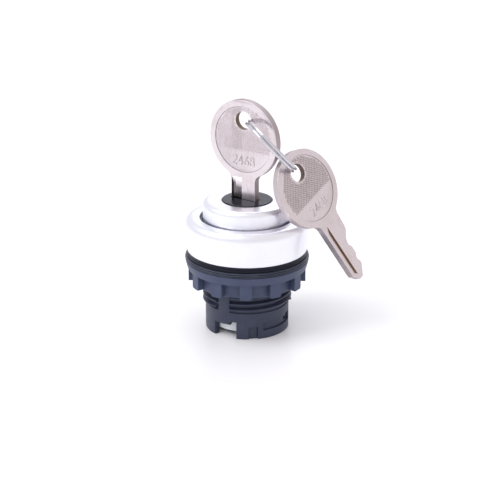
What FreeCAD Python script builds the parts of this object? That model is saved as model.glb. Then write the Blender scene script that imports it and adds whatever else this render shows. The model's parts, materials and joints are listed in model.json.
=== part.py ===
import FreeCAD, Part
import os
from math import atan, cos, degrees, hypot, radians, sin
from FreeCAD import Matrix, Placement, Rotation, Vector

# Key operated selector actuator for a 22 mm panel hole, with its two keys on a split ring.
# Millimetres. +Z runs along the lock's axis towards the key. The origin is on that axis in the
# panel's front face: the gasket sits on it and the lock nut comes up to it from below.
# An azimuth is measured about +Z from the front (-Y), positive to the right (+X).

UP = Vector(0, 0, 1)
ORIGIN = Vector(0, 0, 0)
BITE = 0.2                      # how far added features reach into the body they grow from
FREE = 0.05                     # clearance of close fits inside the mechanism

# Moulded base: flange, boss inside the bezel and threaded barrel
BASE_BOTTOM = -17.3
BARREL_R = 10.1
BORE_R = 8.75
BORE_ROOF = -1.4
FLANGE_R = 14.45
FLANGE_BOTTOM = 1.2
FLANGE_TOP = 2.85
NECK_R = 10.8
BOSS_R = 13.8
BOSS_TOP = 7.4
TAIL_HOLE_R = 3.1
CLIP_POCKET_R = 5.0
CLIP_POCKET_FLOOR = 0.2
SEAT_Z = 1.0                    # shelf that the lock barrel stands on
SEAT_R = 7.5
SHOULDER_SEAT_R = 9.3
SHOULDER_Z = 6.2

# Thread
PITCH = 1.5
THREAD_ROOT_R = 9.8
THREAD_CREST_R = 10.75
THREAD_BOTTOM = -10.8
THREAD_LENGTH = 10.4
ROOT_HALF = 0.5
CREST_HALF = 0.15

# Cut-outs in the barrel's lower end, as azimuths in degrees
STRIP = (-43.0, -24.6)          # thread-free strip that ends below as a tab
NOTCH = (-50.0, -15.0)
NOTCH_ROOF = -13.9
NOTCH_HIGH = (-24.0, -15.0)
NOTCH_HIGH_ROOF = -13.1
BAYONET = (23.0, 80.0)
BAYONET_Z = (-15.25, -13.4)
BAYONET_HOLE = (66.0, 80.0)
BAYONET_HOLE_Z = (-14.8, -12.0)
RECESS = (2.3, 15.0)
RECESS_TOP = -14.2
SKIN_DEPTH = 0.55               # depth of the recess and of the bayonet slots
DETENT_DEPTH = 0.3

# Bezel, collar and their seal
BEZEL_R = 14.85
BEZEL_FOOT_R = 14.42
BEZEL_SHOULDER_Z = 8.5
BEZEL_TOP = 10.65
BEZEL_EDGE = 0.62               # how far the shoulder's arc stays inside the square corner
BEZEL_FLAT_R = 13.0
BEZEL_LIP_R = 11.3
BEZEL_INNER_R = 13.95
BEZEL_ROOF = 9.75
COLLAR_R = 10.6
COLLAR_TOP = 14.7
COLLAR_EDGE = 1.3
COLLAR_RIM_R = 12.6
COLLAR_RIM_TOP = 8.6
COLLAR_ROOF = 13.1
FACE_HOLE_R = 6.1
SEAL_R = (10.65, 13.3)

# Gasket and lock nut
GASKET_R = (11.0, 14.8)
GASKET_LIP_R = 14.95
GASKET_LIP_Z = (0.35, 0.75)
NUT_R = 14.9
NUT_BAND_FOOT_R = 14.35
NUT_BAND_BOTTOM = -2.1
NUT_CORE_R = 12.5
NUT_BOTTOM = -5.8
NUT_MAJOR_R = 10.95
NUT_MINOR_R = 10.2
NUT_RIDGE_HALF = (0.48, 0.2)
NUT_RIDGE_START = 4.5           # turns above the thread's lower end, half way between its ridges
NUT_RIDGE_TURNS = 2.2
LUG_R = 14.2
LUG_BOTTOM = -5.7
LUG_COUNT = 12
LUG_WIDTH = 12.0                # degrees
LUG_FIRST = -1.2                # azimuth of the front lug, degrees

# Lock barrel and plug
LOCK_R = 7.4
LOCK_TOP = 13.05
LOCK_SHOULDER_R = 9.2
LOCK_SHOULDER_TOP = 7.35
PLUG_BORE_R = 5.75
PLUG_BORE_FLOOR = 2.6
PLUG_R = 5.7
PLUG_BOTTOM = 2.65
PLUG_TOP = 13.1
TAIL_R = 3.0
TAIL_SQUARE = 4.0
TAIL_SQUARE_TOP = -1.5
TAIL_BOTTOM = -3.6
CLIP_Z = (0.3, 0.9)
CLIP_R = (2.4, 4.6)
FACE_R = 6.0
FACE_TOP = 14.9
KEYWAY = (7.1, 2.2)
KEYWAY_FLOOR = 3.4
KEY_AZIMUTH = 145.25            # azimuth that the inserted key's front face looks to
KEY_OFFSET = 0.55               # how far the key and its keyway stand to the cut side of the axis
TURN = 60.0                     # degrees between the switch's two positions, clockwise from above

# Wafers
WAFER_Z = [12.2, 10.8, 9.4, 8.0, 6.6]
WAFER_BITS = [1.05, 1.55, 1.5, 0.95, 1.3]
WAFER_THICK = 0.8
WAFER_HALF = 2.6                # half width across the key's faces
WAFER_TIP_R = 5.6
WAFER_WINDOW = (-3.05, 2.7)
WAFER_WINDOW_HALF = 1.15
WAFER_THROW = 1.1
WAFER_GAP = 0.12
EAR_X = (-0.6, 0.2)
EAR_Y = 3.8
EAR_SPRING = (0.3, 0.08, 5)     # coil radius, wire radius, turns
SPRING_END_X = 3.0

# Rotor, plungers and their guide
ROTOR_R = 8.4
ROTOR_INNER_R = 7.3
ROTOR_TOP = -1.6
ROTOR_DISC_BOTTOM = -5.0
ROTOR_BOTTOM = -15.95
STROKE = 3.0
RAMP_R = (2.9, 6.7)
RAMP_LAND = 25.0                # degrees of level land after each ramp
PLUNGER_PCR = 4.8               # radius of the circle that the plungers stand on
PLUNGER_AZIMUTHS = (57.0, -123.0)
PLUNGER_R = 1.5
HEAD_R = 1.9
HEAD_CENTRE_Z = -7.3
HEAD_FOOT_Z = -9.2
PLUNGER_BOTTOM = -17.1
BRIDGE_Z = (-17.15, -16.1)
BRIDGE_HALF = 3.0
BRIDGE_R = 8.74
BRIDGE_HOLE_R = 1.6
RETURN_COIL_R = 1.88
RETURN_WIRE_R = 0.18
RETURN_TURNS = 6
SCREW_R = 1.2
SCREW_HEAD_R = 2.2
SCREW_HEAD_Z = (-6.6, -5.0)
SCREW_TOP = -0.6
SCREW_SLOT = (0.5, 0.8)
BALL_R = 1.0
BALL_PCR = 7.73
BALL_Z = -3.3
BALL_AZIMUTH = -33.0
BALL_HOLE_R = 1.05
BALL_HOLE_END = 4.5
DETENT_SPRING = (0.75, 0.12, 5)

# Keys: local origin at the bow's centre, front face to -Y, tip to -Z, cuts on the +X side
BOW_R = 9.5
KEY_THICK = 1.8
RIM_R = 8.0
RECESS_FACE = 0.2
KEY_HOLE_R = 2.2
KEY_HOLE_Z = 4.55
BLADE_HALF = 3.4
BLADE_ROOT = (4.4, -8.3)        # where the blade's flared root meets the bow
BLADE_NECK_Z = -9.9
KEY_TIP_Z = -25.9
BLADE_SHOULDER = [(3.2, -12.9), (2.95, -14.3), (1.35, -16.1)]   # down the step to the cuts
BLADE_POINT = [(0.8, -24.0), (-0.6, KEY_TIP_Z), (-1.8, KEY_TIP_Z), (-BLADE_HALF, -24.0)]
BIT_HALF = 0.4                  # half the length of each level cut
FRONT_GROOVE = (-2.9, -1.95)
FRONT_GROOVE_Z = (-24.0, -10.6)
BACK_GROOVE = (0.35, 3.15)
BACK_GROOVE_TOP = -10.0
GROOVE_DEPTH = 0.45
INSERTED_BOW_Z = 29.6
SPARE_CENTRE = Vector(13.86, -3.09, 18.38)
SPARE_NORMAL = Vector(0.64, -0.664, 0.387)
SPARE_TIP_DIRECTION = Vector(0.517, 0.03, -0.841)

# Split ring
RING_R = 7.8
RING_INSET = 0.85               # how far off each hole's centre the ring passes, towards the other hole
RING_SHIFT = 0.15               # how far the ring's plane stands off both holes' centres
RING_WIRE_R = 0.4
RING_PITCH = 0.84
RING_TURNS = 2
RING_END_ANGLE = -50.0          # where the wire's ends are, from the first hole round the ring
SIGHT = Vector(0.016, 0.959, -0.282)   # direction that the ring's plane holds besides its two holes


def cylinder(r, z0, z1):
    return Part.makeCylinder(r, z1 - z0, Vector(0, 0, z0))


def tube(inner_r, outer_r, z0, z1):
    return cylinder(outer_r, z0, z1).cut(cylinder(inner_r, z0, z1))


def box(x, y, z):
    return Part.makeBox(x[1] - x[0], y[1] - y[0], z[1] - z[0], Vector(x[0], y[0], z[0]))


def direction(azimuth):
    return Vector(sin(radians(azimuth)), -cos(radians(azimuth)), 0)


def turned(shape, degrees):
    copy = shape.copy()
    copy.rotate(ORIGIN, UP, degrees)
    return copy


def moved(shape, offset):
    copy = shape.copy()
    copy.translate(offset)
    return copy


def sector(inner_r, outer_r, azimuths, z0, z1):
    """Part of a tube between two azimuths."""
    wedge = Part.makeCylinder(outer_r, z1 - z0, Vector(0, 0, z0), UP, azimuths[1] - azimuths[0])
    wedge.rotate(ORIGIN, UP, azimuths[0] - 90)
    return wedge.cut(cylinder(inner_r, z0, z1)) if inner_r else wedge


def turn_profile(points):
    """Solid of revolution about Z from a closed outline of (radius, z) points."""
    corners = [Vector(r, 0, z) for r, z in points]
    return Part.Face(Part.makePolygon(corners + corners[:1])).revolve(ORIGIN, UP, 360)


def helical_ridge(r0, r1, half0, half1, z0, length):
    """Screw ridge whose section narrows from half0 at r0 to half1 at r1."""
    corners = [Vector(r0, 0, z0 - half0), Vector(r1, 0, z0 - half1),
               Vector(r1, 0, z0 + half1), Vector(r0, 0, z0 + half0)]
    path = Part.makeHelix(PITCH, length, r1)
    path.translate(Vector(0, 0, z0))
    return Part.Wire(path).makePipeShell([Part.makePolygon(corners + corners[:1])], True, True)


def coil(radius, wire_r, pitch, turns):
    """Round wire wound about Z from z = 0, in flat half turns tilted so that each leads into the next."""
    half_rise = pitch / 4
    arcs = []
    for index in range(2 * turns):
        arc = Part.makeTorus(hypot(radius, half_rise), wire_r, ORIGIN, UP, -180, 180, 180)
        arc.rotate(ORIGIN, Vector(0, 1, 0), degrees(atan(half_rise / radius)))
        arc.rotate(ORIGIN, UP, 180 * index)
        arcs.append(moved(arc, UP * half_rise * (2 * index + 1)))
    return arcs[0].fuse(arcs[1:])


def opposite(shape):
    return turned(shape, 180)


INSERTED = Placement(ORIGIN, Rotation(UP, KEY_AZIMUTH)).multiply(
    Placement(Vector(KEY_OFFSET, 0, INSERTED_BOW_Z), Rotation()))


def axes_rotation(x_axis, y_axis, z_axis):
    """Rotation that takes the three row axes to these three directions."""
    turn = Matrix(x_axis.x, y_axis.x, z_axis.x, 0,
                  x_axis.y, y_axis.y, z_axis.y, 0,
                  x_axis.z, y_axis.z, z_axis.z, 0,
                  0, 0, 0, 1)
    return Placement(turn).Rotation


def spare_placement():
    """Spare key leaning on the bezel's edge, numbered face to SPARE_NORMAL."""
    normal = Vector(SPARE_NORMAL).normalize()
    down = SPARE_TIP_DIRECTION - normal * SPARE_TIP_DIRECTION.dot(normal)
    down.normalize()
    return Placement(SPARE_CENTRE, axes_rotation(normal.cross(down), -normal, -down))


SPARE = spare_placement()


def placed(shape, frame):
    copy = shape.copy()
    copy.Placement = frame
    return copy


def base_body():
    shape = cylinder(BARREL_R, BASE_BOTTOM, THREAD_BOTTOM)
    shape = shape.fuse(cylinder(THREAD_ROOT_R, THREAD_BOTTOM, FLANGE_BOTTOM))
    shape = shape.fuse(helical_ridge(THREAD_ROOT_R - BITE, THREAD_CREST_R, ROOT_HALF, CREST_HALF,
                                     THREAD_BOTTOM, THREAD_LENGTH))
    shape = shape.fuse(sector(0, BARREL_R, STRIP, THREAD_BOTTOM, FLANGE_BOTTOM))
    shape = shape.cut(sector(BARREL_R, NUT_R, STRIP, BASE_BOTTOM, FLANGE_TOP))
    shape = shape.fuse([cylinder(NECK_R, BITE, FLANGE_BOTTOM),
                        cylinder(FLANGE_R, FLANGE_BOTTOM, FLANGE_TOP),
                        cylinder(BOSS_R, FLANGE_TOP, BOSS_TOP)])
    hollows = [cylinder(BORE_R, BASE_BOTTOM, BORE_ROOF),
               cylinder(TAIL_HOLE_R, BORE_ROOF, BOSS_TOP),
               cylinder(CLIP_POCKET_R, CLIP_POCKET_FLOOR, BOSS_TOP),
               cylinder(SEAT_R, SEAT_Z, BOSS_TOP),
               cylinder(SHOULDER_SEAT_R, SHOULDER_Z, BOSS_TOP)]
    notch = sector(BORE_R - BITE, NUT_R, NOTCH, BASE_BOTTOM, NOTCH_ROOF)
    high = sector(BORE_R - BITE, NUT_R, NOTCH_HIGH, BASE_BOTTOM, NOTCH_HIGH_ROOF)
    slot = sector(BARREL_R - SKIN_DEPTH, NUT_R, BAYONET, *BAYONET_Z)
    window = sector(BORE_R - BITE, NUT_R, BAYONET_HOLE, *BAYONET_HOLE_Z)
    for cut in (notch, high, slot, window):
        hollows += [cut, opposite(cut)]
    hollows.append(sector(BARREL_R - SKIN_DEPTH, NUT_R, RECESS, BASE_BOTTOM, RECESS_TOP))
    groove = Part.makeCylinder(BALL_R, ROTOR_TOP - ROTOR_DISC_BOTTOM,
                               direction(BALL_AZIMUTH) * (BORE_R + DETENT_DEPTH - BALL_R)
                               + Vector(0, 0, ROTOR_DISC_BOTTOM))
    hollows += [groove, turned(groove, -TURN)]
    return shape.cut(hollows)


def bezel_ring():
    """Domed ring: straight skirt, round shoulder, level top and inner lip."""
    mid = Vector(BEZEL_R - BEZEL_EDGE, 0, BEZEL_TOP - BEZEL_EDGE)
    outer = [Part.LineSegment(Vector(BEZEL_INNER_R, 0, FLANGE_TOP), Vector(BEZEL_FOOT_R, 0, FLANGE_TOP)),
             Part.LineSegment(Vector(BEZEL_FOOT_R, 0, FLANGE_TOP), Vector(BEZEL_R, 0, BEZEL_SHOULDER_Z)),
             Part.Arc(Vector(BEZEL_R, 0, BEZEL_SHOULDER_Z), mid, Vector(BEZEL_FLAT_R, 0, BEZEL_TOP)),
             Part.LineSegment(Vector(BEZEL_FLAT_R, 0, BEZEL_TOP), Vector(BEZEL_LIP_R, 0, BEZEL_TOP)),
             Part.LineSegment(Vector(BEZEL_LIP_R, 0, BEZEL_TOP), Vector(BEZEL_LIP_R, 0, BEZEL_ROOF)),
             Part.LineSegment(Vector(BEZEL_LIP_R, 0, BEZEL_ROOF), Vector(BEZEL_INNER_R, 0, BEZEL_ROOF)),
             Part.LineSegment(Vector(BEZEL_INNER_R, 0, BEZEL_ROOF), Vector(BEZEL_INNER_R, 0, FLANGE_TOP))]
    wire = Part.Wire([edge.toShape() for edge in outer])
    return Part.Face(wire).revolve(ORIGIN, UP, 360)


def collar():
    shape = cylinder(COLLAR_R, BOSS_TOP, COLLAR_TOP)
    top = [edge for edge in shape.Edges if edge.BoundBox.ZMin > COLLAR_TOP - BITE]
    shape = shape.makeFillet(COLLAR_EDGE, top).fuse(cylinder(COLLAR_RIM_R, BOSS_TOP, COLLAR_RIM_TOP))
    return shape.cut([cylinder(SEAT_R, BOSS_TOP, COLLAR_ROOF), cylinder(FACE_HOLE_R, BOSS_TOP, COLLAR_TOP)])


def lock_barrel():
    shape = tube(PLUG_BORE_R, LOCK_R, SEAT_Z, LOCK_TOP)
    shape = shape.fuse([tube(TAIL_HOLE_R, LOCK_R, SEAT_Z, PLUG_BORE_FLOOR),
                        tube(PLUG_BORE_R, LOCK_SHOULDER_R, SHOULDER_Z, LOCK_SHOULDER_TOP)])
    slots = []
    for position in (KEY_AZIMUTH, KEY_AZIMUTH - TURN):
        for z in WAFER_Z:
            reach = box((-PLUG_R - WAFER_THROW, 0), (-WAFER_HALF - WAFER_GAP, WAFER_HALF + WAFER_GAP),
                        (z - WAFER_THICK / 2 - WAFER_GAP, z + WAFER_THICK / 2 + WAFER_GAP))
            slots.append(turned(reach, position))
    return shape.cut(slots)


def keyway(z0, z1):
    width, thick = KEYWAY
    slot = box((KEY_OFFSET - width / 2, KEY_OFFSET + width / 2), (-thick / 2, thick / 2), (z0, z1))
    return turned(slot, KEY_AZIMUTH)


def lock_plug():
    shape = cylinder(PLUG_R, PLUG_BOTTOM, PLUG_TOP).fuse(cylinder(TAIL_R, TAIL_SQUARE_TOP, PLUG_BOTTOM))
    half = TAIL_SQUARE / 2
    shape = shape.fuse(box((-half, half), (-half, half), (TAIL_BOTTOM, TAIL_SQUARE_TOP)))
    cuts = [keyway(KEYWAY_FLOOR, PLUG_TOP),
            tube(CLIP_R[0] - FREE, TAIL_R, *CLIP_Z),
            cylinder(SCREW_R + FREE, TAIL_BOTTOM, SCREW_TOP + BITE)]
    for z in WAFER_Z:
        level = (z - WAFER_THICK / 2 - WAFER_GAP, z + WAFER_THICK / 2 + WAFER_GAP)
        across = box((-PLUG_R, PLUG_R), (-WAFER_HALF - WAFER_GAP, WAFER_HALF + WAFER_GAP), level)
        pocket = box((EAR_X[0] - WAFER_THROW - WAFER_GAP, SPRING_END_X), (0, EAR_Y + WAFER_GAP), level)
        cuts += [turned(across, KEY_AZIMUTH), turned(pocket, KEY_AZIMUTH)]
    return shape.cut(cuts)


def plug_face():
    shape = cylinder(FACE_R, PLUG_TOP, FACE_TOP)
    return shape.cut(keyway(PLUG_TOP, FACE_TOP))


def wafer(z):
    """Flat plate with rounded ends, a window for the key and an ear for its spring."""
    level = (z - WAFER_THICK / 2, z + WAFER_THICK / 2)
    plate = box((-WAFER_TIP_R, WAFER_TIP_R), (-WAFER_HALF, WAFER_HALF), level)
    plate = plate.common(cylinder(WAFER_TIP_R, *level))
    plate = plate.fuse(box(EAR_X, (WAFER_HALF - BITE, EAR_Y), level))
    window = box(WAFER_WINDOW, (-WAFER_WINDOW_HALF, WAFER_WINDOW_HALF), level)
    return turned(plate.cut(window), KEY_AZIMUTH)


def lying_spring(radius, wire_r, turns, length):
    """Compression spring along +X from the origin."""
    height = length - 2 * wire_r
    wound = coil(radius, wire_r, height / turns, turns)
    wound.rotate(ORIGIN, Vector(0, 1, 0), 90)
    return moved(wound, Vector(wire_r, 0, 0))


def wafer_springs():
    """One small compression spring behind each wafer's ear."""
    wound = lying_spring(*EAR_SPRING, SPRING_END_X - EAR_X[1])
    middle = (WAFER_HALF + EAR_Y) / 2
    return [turned(moved(wound, Vector(EAR_X[1], middle, z)), KEY_AZIMUTH) for z in WAFER_Z]


def plug_clip():
    """Retaining ring, open on one side, in the groove of the plug's tail."""
    opening = box((0, CLIP_R[1]), (-CLIP_R[0] + BITE, CLIP_R[0] - BITE), CLIP_Z)
    return tube(CLIP_R[0], CLIP_R[1], *CLIP_Z).cut(opening)


def ramp(azimuth):
    """Helical ramp under the rotor's disc that drives one plunger down by STROKE."""
    start = azimuth - 90
    middle = (RAMP_R[0] + RAMP_R[1]) / 2
    low = ROTOR_DISC_BOTTOM - STROKE
    tall = STROKE + BITE
    corners = [Vector(RAMP_R[0], 0, 0), Vector(RAMP_R[1], 0, 0),
               Vector(RAMP_R[1], 0, tall), Vector(RAMP_R[0], 0, tall)]
    path = Part.makeHelix(STROKE * 360 / TURN, STROKE, middle, 0, True)
    slope = Part.Wire(path).makePipeShell([Part.makePolygon(corners + corners[:1])], True, True)
    slope.translate(Vector(0, 0, low))
    slope.rotate(ORIGIN, UP, start + TURN)
    slope = slope.common(cylinder(ROTOR_R, low, ROTOR_DISC_BOTTOM + BITE))
    land = sector(RAMP_R[0], RAMP_R[1], (azimuth + TURN, azimuth + TURN + RAMP_LAND), low,
                  ROTOR_DISC_BOTTOM + BITE)
    return slope.fuse(land)


def rotor_cam():
    shape = cylinder(ROTOR_R, ROTOR_BOTTOM, ROTOR_TOP)
    shape = shape.cut(cylinder(ROTOR_INNER_R, ROTOR_BOTTOM, ROTOR_DISC_BOTTOM))
    shape = shape.fuse([ramp(azimuth) for azimuth in PLUNGER_AZIMUTHS])
    half = TAIL_SQUARE / 2 + FREE
    socket = box((-half, half), (-half, half), (TAIL_BOTTOM - FREE, ROTOR_TOP))
    radial = direction(BALL_AZIMUTH)
    pocket = Part.makeCylinder(BALL_HOLE_R, ROTOR_R - BALL_HOLE_END,
                               radial * BALL_HOLE_END + Vector(0, 0, BALL_Z), radial)
    return shape.cut([socket, pocket, cylinder(SCREW_R + FREE, ROTOR_DISC_BOTTOM, ROTOR_TOP)])


def cam_screw():
    shank = cylinder(SCREW_R, SCREW_HEAD_Z[1], SCREW_TOP)
    slot = box((-SCREW_HEAD_R, SCREW_HEAD_R), (-SCREW_SLOT[0] / 2, SCREW_SLOT[0] / 2),
               (SCREW_HEAD_Z[0], SCREW_HEAD_Z[0] + SCREW_SLOT[1]))
    return shank.fuse(cylinder(SCREW_HEAD_R, *SCREW_HEAD_Z)).cut(slot)


def detent_ball():
    return Part.makeSphere(BALL_R, direction(BALL_AZIMUTH) * BALL_PCR + Vector(0, 0, BALL_Z))


def detent_spring():
    wound = lying_spring(*DETENT_SPRING, BALL_PCR - BALL_R - BALL_HOLE_END)
    return turned(moved(wound, Vector(BALL_HOLE_END, 0, BALL_Z)), BALL_AZIMUTH - 90)


def guide_bridge():
    """Bar across the barrel's foot that guides both plungers."""
    bar = box((-BRIDGE_R, BRIDGE_R), (-BRIDGE_HALF, BRIDGE_HALF), BRIDGE_Z)
    bar = turned(bar.common(cylinder(BRIDGE_R, *BRIDGE_Z)), PLUNGER_AZIMUTHS[0] - 90)
    holes = [moved(cylinder(BRIDGE_HOLE_R, *BRIDGE_Z), direction(azimuth) * PLUNGER_PCR)
             for azimuth in PLUNGER_AZIMUTHS]
    return bar.cut(holes)


def plunger(azimuth):
    shape = cylinder(PLUNGER_R, PLUNGER_BOTTOM, HEAD_FOOT_Z)
    shape = shape.fuse([cylinder(HEAD_R, HEAD_FOOT_Z, HEAD_CENTRE_Z),
                        Part.makeSphere(HEAD_R, Vector(0, 0, HEAD_CENTRE_Z))])
    return turned(moved(shape, direction(0) * PLUNGER_PCR), azimuth)


def plunger_spring(azimuth):
    length = HEAD_FOOT_Z - BRIDGE_Z[1] - 2 * RETURN_WIRE_R
    wound = coil(RETURN_COIL_R, RETURN_WIRE_R, length / RETURN_TURNS, RETURN_TURNS)
    foot = direction(0) * PLUNGER_PCR + Vector(0, 0, BRIDGE_Z[1] + RETURN_WIRE_R)
    return turned(moved(wound, foot), azimuth)


def gasket():
    body = tube(GASKET_R[0], GASKET_R[1], 0, FLANGE_BOTTOM)
    return body.fuse(tube(GASKET_R[0], GASKET_LIP_R, *GASKET_LIP_Z))


def lock_nut():
    start = THREAD_BOTTOM + PITCH * NUT_RIDGE_START
    shape = tube(NUT_MAJOR_R, NUT_CORE_R, NUT_BOTTOM, 0)
    shape = shape.fuse(helical_ridge(NUT_MAJOR_R + BITE, NUT_MINOR_R, NUT_RIDGE_HALF[0],
                                     NUT_RIDGE_HALF[1], start, PITCH * NUT_RIDGE_TURNS))
    shape = shape.fuse(turn_profile([(NUT_CORE_R - BITE, 0), (NUT_R, 0),
                                     (NUT_BAND_FOOT_R, NUT_BAND_BOTTOM),
                                     (NUT_CORE_R - BITE, NUT_BAND_BOTTOM)]))
    for index in range(LUG_COUNT):
        centre = LUG_FIRST + index * 360 / LUG_COUNT
        lug = sector(NUT_CORE_R - BITE, LUG_R, (centre - LUG_WIDTH / 2, centre + LUG_WIDTH / 2),
                     LUG_BOTTOM, NUT_BAND_BOTTOM + BITE)
        shape = shape.fuse(lug)
    return shape


def blade_outline():
    """Corner points of the blade, down the cut side, round the tip and up the spine."""
    points = [BLADE_ROOT, (BLADE_HALF, BLADE_NECK_Z)] + BLADE_SHOULDER
    for z, bit in zip(WAFER_Z, WAFER_BITS):
        drop = z - INSERTED_BOW_Z
        points += [(bit, drop + BIT_HALF), (bit, drop - BIT_HALF)]
    return points + BLADE_POINT + [(-BLADE_HALF, BLADE_NECK_Z), (-BLADE_ROOT[0], BLADE_ROOT[1])]


def key():
    """Round bow with a rim and a ring hole, and a blade with its cuts and a groove on each face."""
    half = KEY_THICK / 2
    front = Vector(0, -1, 0)
    bow = Part.makeCylinder(BOW_R, KEY_THICK, Vector(0, half, 0), front)
    corners = [Vector(x, half, z) for x, z in blade_outline()]
    blade = Part.Face(Part.makePolygon(corners + corners[:1])).extrude(front * KEY_THICK)
    shape = bow.fuse(blade)
    cuts = [Part.makeCylinder(KEY_HOLE_R, KEY_THICK, Vector(0, half, KEY_HOLE_Z), front),
            Part.makeCylinder(RIM_R, RECESS_FACE, Vector(0, half, 0), front),
            Part.makeCylinder(RIM_R, RECESS_FACE, Vector(0, RECESS_FACE - half, 0), front),
            box(FRONT_GROOVE, (-half, GROOVE_DEPTH - half), FRONT_GROOVE_Z),
            box(BACK_GROOVE, (half - GROOVE_DEPTH, half), (KEY_TIP_Z - BITE, BACK_GROOVE_TOP))]
    return shape.cut(cuts)


def ring_frame():
    """Centre and normal of the split ring, and where it passes the first of its two holes."""
    first = INSERTED.multVec(Vector(0, 0, KEY_HOLE_Z))
    second = SPARE.multVec(Vector(0, 0, KEY_HOLE_Z))
    along = Vector(second - first).normalize()
    depth = SIGHT - along * SIGHT.dot(along)
    depth.normalize()
    half_chord = (second - first).Length / 2 - RING_INSET
    rise = (RING_R ** 2 - half_chord ** 2) ** 0.5
    normal = along.cross(depth)
    centre = (first + second) * 0.5 - depth * rise + normal * RING_SHIFT
    return centre, normal, first + along * RING_INSET + normal * RING_SHIFT


def split_ring():
    """Two turns of round wire through both keys' holes."""
    centre, normal, first = ring_frame()
    wound = coil(RING_R, RING_WIRE_R, RING_PITCH, RING_TURNS)
    wound.translate(UP * (-RING_PITCH * RING_TURNS / 2))
    outward = (first - centre).normalize()
    side = normal.cross(outward)
    gap = radians(RING_END_ANGLE)
    x_axis = outward * cos(gap) + side * sin(gap)
    frame = Placement(centre, axes_rotation(x_axis, normal.cross(x_axis), normal))
    wound.transformShape(frame.Matrix)
    return wound


def export(name, shape):
    solids = shape if isinstance(shape, list) else shape.Solids
    solid = solids[0] if len(solids) == 1 else Part.makeCompound(solids)
    solid.exportStep(os.path.join("parts", name + ".step"))
    print(name, len(solids), round(solid.Volume, 1), solid.isValid())


def main():
    os.makedirs("parts", exist_ok=True)
    export("base_body", base_body())
    export("bezel_ring", bezel_ring())
    export("collar", collar())
    export("collar_seal", tube(SEAL_R[0], SEAL_R[1], COLLAR_RIM_TOP, BEZEL_ROOF))
    export("lock_barrel", lock_barrel())
    export("lock_plug", lock_plug())
    export("plug_face", plug_face())
    export("plug_clip", plug_clip())
    for number, z in enumerate(WAFER_Z, 1):
        export("wafer_%d" % number, wafer(z))
    export("wafer_springs", wafer_springs())
    export("rotor_cam", rotor_cam())
    export("cam_screw", cam_screw())
    export("detent_ball", detent_ball())
    export("detent_spring", detent_spring())
    export("guide_bridge", guide_bridge())
    for number, azimuth in enumerate(PLUNGER_AZIMUTHS, 1):
        export("plunger_%d" % number, plunger(azimuth))
        export("plunger_spring_%d" % number, plunger_spring(azimuth))
    export("gasket", gasket())
    export("lock_nut", lock_nut())
    export("key_inserted", placed(key(), INSERTED))
    export("spare_key", placed(key(), SPARE))
    export("split_ring", split_ring())


main()
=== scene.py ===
import json
from math import acos, atan2, cos, degrees, hypot, pi, radians, sin, sqrt, tan

import bmesh
import bpy
from mathutils import Matrix, Vector


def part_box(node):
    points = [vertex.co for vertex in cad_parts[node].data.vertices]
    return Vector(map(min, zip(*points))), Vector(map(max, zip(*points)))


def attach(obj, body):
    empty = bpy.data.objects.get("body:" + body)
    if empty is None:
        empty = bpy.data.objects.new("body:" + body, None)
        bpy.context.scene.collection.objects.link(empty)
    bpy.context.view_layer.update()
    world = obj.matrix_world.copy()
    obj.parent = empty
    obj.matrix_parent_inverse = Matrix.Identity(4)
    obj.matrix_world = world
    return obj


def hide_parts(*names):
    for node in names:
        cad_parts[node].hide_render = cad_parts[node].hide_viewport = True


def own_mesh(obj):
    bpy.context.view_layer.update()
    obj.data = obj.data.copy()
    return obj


# Key operated selector actuator with two keys on a split ring.
# Lengths below are millimetres in the row frame and become metres where a mesh is made.

MM = 0.001
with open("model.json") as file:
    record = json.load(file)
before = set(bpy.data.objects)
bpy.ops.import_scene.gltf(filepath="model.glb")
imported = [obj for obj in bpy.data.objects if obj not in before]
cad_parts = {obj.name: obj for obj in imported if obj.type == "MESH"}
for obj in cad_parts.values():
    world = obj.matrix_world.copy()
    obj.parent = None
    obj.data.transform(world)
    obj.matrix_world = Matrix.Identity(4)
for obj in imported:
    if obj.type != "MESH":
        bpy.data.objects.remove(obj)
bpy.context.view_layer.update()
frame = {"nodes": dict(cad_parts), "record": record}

SEGMENTS = 192                  # steps round a full turned piece
FILLET_STEPS = 5
EDGE = 0.18                     # rounding of the lock face's and the lugs' edges
THREAD_BITE = 0.2               # how far a thread's ridge reaches into its wall


def size(node, axis, high=True):
    """One limit of a CAD node's box, in millimetres."""
    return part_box(node)[1 if high else 0][axis] / MM


# Turned radii and levels, read from the frame
BEZEL_R = size("bezel_ring", 0)
BEZEL_TOP = size("bezel_ring", 2)
BEZEL_FOOT = size("bezel_ring", 2, False) - 0.3     # its joint with the flange, a little below the CAD's
COLLAR_TOP = size("collar", 2)
COLLAR_FOOT = size("collar", 2, False)
FACE_TOP = size("plug_face", 2)
FACE_FOOT = size("plug_face", 2, False)
FACE_R = size("plug_face", 0)
GASKET_TOP = size("gasket", 2)
GASKET_R = size("gasket", 0)
NUT_R = size("lock_nut", 0)
BASE_FOOT = size("base_body", 2, False)
BASE_TOP = size("base_body", 2)
FLANGE_R = size("base_body", 0)
SEAL_TOP = size("collar_seal", 2)
SEAL_FOOT = size("collar_seal", 2, False)
SEAL_R = size("collar_seal", 0)

# Bezel and collar
BEZEL_FOOT_R = 14.42
BEZEL_LIP_R = 11.3
BEZEL_INNER_R = 13.95
BEZEL_SHOULDER_Z = 8.5
COLLAR_R = 10.6
COLLAR_RIM_R = 12.6
COLLAR_RIM_TOP = 8.6
COLLAR_ROOF = 13.1
COLLAR_BORE_R = 7.5
FACE_HOLE_R = 6.1
SEAL_BORE_R = 10.66

# Gasket
GASKET_BORE_R = 11.0
GASKET_RIBS = 3
GASKET_RIB_DEPTH = 0.35
GASKET_LIP = 0.12               # the middle rib stands this much past the others

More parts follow.
